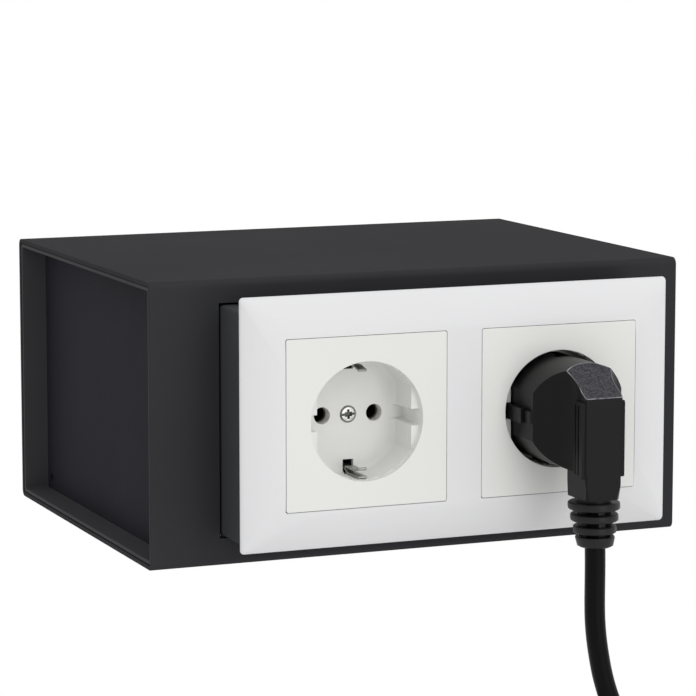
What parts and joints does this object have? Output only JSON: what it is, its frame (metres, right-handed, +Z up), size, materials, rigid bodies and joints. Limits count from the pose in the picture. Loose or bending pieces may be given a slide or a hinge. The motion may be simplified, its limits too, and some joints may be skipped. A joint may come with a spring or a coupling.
{
  "type": "outlet diversion safe",
  "caption": "Wall safe disguised as a double power outlet: a steel casing with a drawer behind the outlet cover, pulled open by the plug and locked by a socket's screw.",
  "frame": {"origin": "centre of the casing's rear outer face, which is bolted to the wall", "axes": "+X to the right seen from the front, +Y back into the wall, +Z up"},
  "size_m": [0.1972, 0.2141, 0.272],
  "materials": {
    "casing": "satin",
    "pan": "satin",
    "tray": "satin",
    "zinc": "satin",
    "cover": "satin",
    "insert": "satin",
    "base": "matte",
    "nickel": "satin",
    "brass": "satin",
    "plug": "satin",
    "cord": "satin",
    "tie": "matte"
  },
  "bodies": {
    "casing": {"casing_sleeve": "casing", "end_pan_left": "pan", "end_pan_right": "pan", "guide_rail_left": "zinc", "guide_rail_right": "zinc", "top_guide_left": "zinc", "top_guide_right": "zinc", "latch_keeper": "zinc", "drawer_stop": "zinc"},
    "drawer": {"drawer_tray": "tray", "drawer_bulkhead": "tray", "cover_frame": "cover", "outlet_insert_left": "insert", "support_plate_left": "zinc", "socket_base_left": "base", "earth_clip_upper_left": "nickel", "earth_clip_lower_left": "nickel", "contact_sleeve_a_left": "brass", "contact_sleeve_b_left": "brass", "plate_screw_lower_left": "zinc", "plate_screw_upper_left": "zinc", "outlet_insert_right": "insert", "support_plate_right": "zinc", "socket_base_right": "base", "earth_clip_upper_right": "nickel", "earth_clip_lower_right": "nickel", "contact_sleeve_a_right": "brass", "contact_sleeve_b_right": "brass", "plate_screw_lower_right": "zinc", "plate_screw_upper_right": "zinc", "centre_screw_right": "nickel", "spindle_bush": "brass"},
    "lock": {"lock_spindle": "nickel", "latch_arm": "zinc", "spindle_nut": "zinc"},
    "plug": {"plug_body": "plug", "plug_pin_left": "nickel", "plug_pin_right": "nickel", "plug_earth_upper": "nickel", "plug_earth_lower": "nickel", "strain_relief": "plug", "cord": "cord", "cord_coil": "cord", "cord_tie": "tie", "connector_relief": "plug", "connector_body": "plug"}
  },
  "joints": [
    {"name": "drawer_slide", "type": "slide", "parent": "casing", "child": "drawer", "axis": [0, -1, 0], "range_m": [-0.0203, 0.086]},
    {"name": "lock_turn", "type": "hinge", "parent": "drawer", "child": "lock", "pos_m": [-0.0321, -0.15, 0.0025], "axis": [0, -1, 0], "range_deg": [0, 90]},
    {"name": "plug_pull", "type": "slide", "parent": "drawer", "child": "plug", "axis": [0, -1, 0], "range_m": [0, 0.04]}
  ]
}
